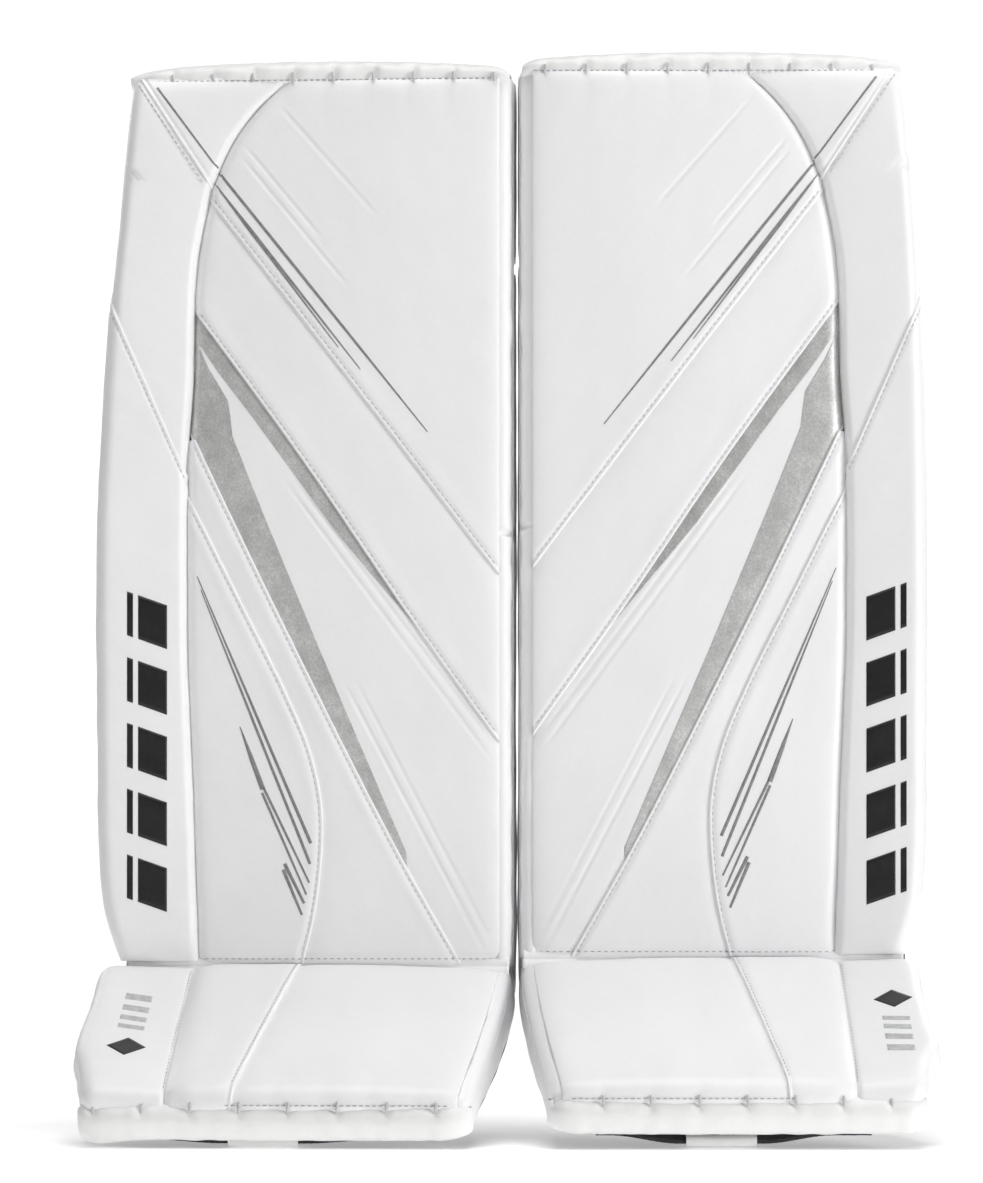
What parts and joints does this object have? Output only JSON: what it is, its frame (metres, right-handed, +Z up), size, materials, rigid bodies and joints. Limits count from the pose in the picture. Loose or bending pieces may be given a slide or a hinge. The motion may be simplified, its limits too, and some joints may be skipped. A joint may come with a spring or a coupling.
{
  "type": "goalie leg pads",
  "caption": "Upright pair of padded ice hockey goalie leg pads with flexing knee and boot breaks, calf wraps, knee stacks, straps and toe bridges.",
  "frame": {"origin": "centre of the pair's bounding box at its base, which is the level of the toe keepers' lowest corners", "axes": "+Z up along the shins, -Y out of the faces, +X from the wearer's right leg to the left"},
  "size_m": [0.5588, 0.3593, 0.7398],
  "materials": {
    "white_leather": "satin synthetic leather with a fine grain",
    "foam": "matte closed-cell foam",
    "board": "matte",
    "liner": "matte knit over foam",
    "black_pad": "matte nylon and synthetic leather over foam",
    "webbing": "matte woven nylon with hook and loop",
    "toe_webbing": "matte woven elastic",
    "hardware": "matte moulded plastic with steel screws",
    "silver_film": "metallic grained synthetic leather",
    "printed_ink": "satin printed lines and bars on the leather",
    "thread": "satin bonded thread"
  },
  "bodies": {
    "right_thigh": {"right_thigh_core": "foam", "right_thigh_face": "white_leather", "right_thigh_roll": "white_leather", "right_thigh_cover": "white_leather", "right_top_binding": "white_leather"},
    "right_shin": {"right_shin_core": "foam", "right_shin_board": "board", "right_shin_panel_upper": "white_leather", "right_shin_panel_band": "white_leather", "right_shin_panel_center": "white_leather", "right_shin_panel_lower": "white_leather", "right_shin_roll": "white_leather", "right_shin_cover": "white_leather", "right_calf_block": "liner", "right_side_block": "liner", "right_knee_stack": "black_pad", "right_strap_hardware": "hardware"},
    "right_boot": {"right_boot_core": "foam", "right_boot_panels": "white_leather", "right_boot_roll": "white_leather", "right_boot_cover": "white_leather", "right_toe_binding": "white_leather"},
    "right_calf_wrap": {"right_calf_wrap": "white_leather"},
    "right_upper_calf_strap": {"right_upper_calf_strap": "webbing"},
    "right_lower_calf_strap": {"right_lower_calf_strap": "webbing"},
    "right_knee_wing": {"right_knee_wing": "white_leather"},
    "right_knee_strap": {"right_knee_strap": "webbing"},
    "right_boot_strap": {"right_boot_strap": "webbing"},
    "right_toe_bridge": {"right_toe_bridge": "toe_webbing"},
    "right_toe_keeper": {"right_toe_keeper": "white_leather"},
    "left_thigh": {"left_thigh_core": "foam", "left_thigh_face": "white_leather", "left_thigh_roll": "white_leather", "left_thigh_cover": "white_leather", "left_top_binding": "white_leather"},
    "left_shin": {"left_shin_core": "foam", "left_shin_board": "board", "left_shin_panel_upper": "white_leather", "left_shin_panel_band": "white_leather", "left_shin_panel_center": "white_leather", "left_shin_panel_lower": "white_leather", "left_shin_roll": "white_leather", "left_shin_cover": "white_leather", "left_calf_block": "liner", "left_side_block": "liner", "left_knee_stack": "black_pad", "left_strap_hardware": "hardware"},
    "left_boot": {"left_boot_core": "foam", "left_boot_panels": "white_leather", "left_boot_roll": "white_leather", "left_boot_cover": "white_leather", "left_toe_binding": "white_leather"},
    "left_calf_wrap": {"left_calf_wrap": "white_leather"},
    "left_upper_calf_strap": {"left_upper_calf_strap": "webbing"},
    "left_lower_calf_strap": {"left_lower_calf_strap": "webbing"},
    "left_knee_wing": {"left_knee_wing": "white_leather"},
    "left_knee_strap": {"left_knee_strap": "webbing"},
    "left_boot_strap": {"left_boot_strap": "webbing"},
    "left_toe_bridge": {"left_toe_bridge": "toe_webbing"},
    "left_toe_keeper": {"left_toe_keeper": "white_leather"}
  },
  "joints": [
    {"name": "right_knee_flex", "type": "hinge", "parent": "right_shin", "child": "right_thigh", "pos_m": [-0.14032, -0.00439, 0.5928], "axis": [-0.9981, 0.061, 0], "range_deg": [-5, 12], "stiffness_Nm_per_rad": 40},
    {"name": "right_ankle_flex", "type": "hinge", "parent": "right_shin", "child": "right_boot", "pos_m": [-0.14032, -0.00439, 0.1148], "axis": [-0.9981, 0.061, 0], "range_deg": [-11, 15], "stiffness_Nm_per_rad": 40},
    {"name": "right_calf_wrap_open", "type": "hinge", "parent": "right_shin", "child": "right_calf_wrap", "pos_m": [-0.26133, 0.09208, 0.2488], "axis": [0, 0, 1], "range_deg": [0, 80]},
    {"name": "right_upper_calf_strap_peel", "type": "hinge", "parent": "right_calf_wrap", "child": "right_upper_calf_strap", "pos_m": [-0.19795, 0.17024, 0.2998], "axis": [0, 0, 1], "range_deg": [0, 70]},
    {"name": "right_lower_calf_strap_peel", "type": "hinge", "parent": "right_calf_wrap", "child": "right_lower_calf_strap", "pos_m": [-0.19795, 0.17024, 0.1998], "axis": [0, 0, 1], "range_deg": [0, 70]},
    {"name": "right_knee_wing_open", "type": "hinge", "parent": "right_shin", "child": "right_knee_wing", "pos_m": [-0.26133, 0.09208, 0.4448], "axis": [0, 0, 1], "range_deg": [0, 75]},
    {"name": "right_knee_strap_peel", "type": "hinge", "parent": "right_knee_wing", "child": "right_knee_strap", "pos_m": [-0.23014, 0.14973, 0.4458], "axis": [0, 0, 1], "range_deg": [0, 60]},
    {"name": "right_boot_strap_peel", "type": "hinge", "parent": "right_shin", "child": "right_boot_strap", "pos_m": [-0.26675, 0.05805, 0.1118], "axis": [0, 0, 1], "range_deg": [0, 80]},
    {"name": "right_toe_bridge_swing", "type": "hinge", "parent": "right_boot", "child": "right_toe_bridge", "pos_m": [-0.148, -0.12995, 0.01367], "axis": [0.9981, -0.061, 0], "range_deg": [0, 25], "stiffness_Nm_per_rad": 0.6},
    {"name": "right_toe_keeper_slide", "type": "slide", "parent": "right_toe_bridge", "child": "right_toe_keeper", "axis": [-0.9981, 0.061, 0], "range_m": [-0.02, 0.02]},
    {"name": "left_knee_flex", "type": "hinge", "parent": "left_shin", "child": "left_thigh", "pos_m": [0.14142, -0.01281, 0.5978], "axis": [-1, 0, 0], "range_deg": [-5, 12], "stiffness_Nm_per_rad": 40},
    {"name": "left_ankle_flex", "type": "hinge", "parent": "left_shin", "child": "left_boot", "pos_m": [0.14142, -0.01281, 0.1198], "axis": [-1, 0, 0], "range_deg": [-11, 15], "stiffness_Nm_per_rad": 40},
    {"name": "left_calf_wrap_open", "type": "hinge", "parent": "left_shin", "child": "left_calf_wrap", "pos_m": [0.26809, 0.07608, 0.2538], "axis": [0, 0, -1], "range_deg": [0, 80]},
    {"name": "left_upper_calf_strap_peel", "type": "hinge", "parent": "left_calf_wrap", "child": "left_upper_calf_strap", "pos_m": [0.2096, 0.15797, 0.3048], "axis": [0, 0, -1], "range_deg": [0, 70]},
    {"name": "left_lower_calf_strap_peel", "type": "hinge", "parent": "left_calf_wrap", "child": "left_lower_calf_strap", "pos_m": [0.2096, 0.15797, 0.2048], "axis": [0, 0, -1], "range_deg": [0, 70]},
    {"name": "left_knee_wing_open", "type": "hinge", "parent": "left_shin", "child": "left_knee_wing", "pos_m": [0.26809, 0.07608, 0.4498], "axis": [0, 0, -1], "range_deg": [0, 75]},
    {"name": "left_knee_strap_peel", "type": "hinge", "parent": "left_knee_wing", "child": "left_knee_strap", "pos_m": [0.24047, 0.13553, 0.4508], "axis": [0, 0, -1], "range_deg": [0, 60]},
    {"name": "left_boot_strap_peel", "type": "hinge", "parent": "left_shin", "child": "left_boot_strap", "pos_m": [0.27142, 0.04179, 0.1168], "axis": [0, 0, -1], "range_deg": [0, 80]},
    {"name": "left_toe_bridge_swing", "type": "hinge", "parent": "left_boot", "child": "left_toe_bridge", "pos_m": [0.14142, -0.13861, 0.01867], "axis": [1, 0, 0], "range_deg": [0, 25], "stiffness_Nm_per_rad": 0.6},
    {"name": "left_toe_keeper_slide", "type": "slide", "parent": "left_toe_bridge", "child": "left_toe_keeper", "axis": [1, 0, 0], "range_m": [-0.02, 0.02]},
    {"name": "pads_apart", "type": "slide", "parent": "right_shin", "child": "left_shin", "axis": [1, 0, 0], "range_m": [0, 0.2]}
  ]
}
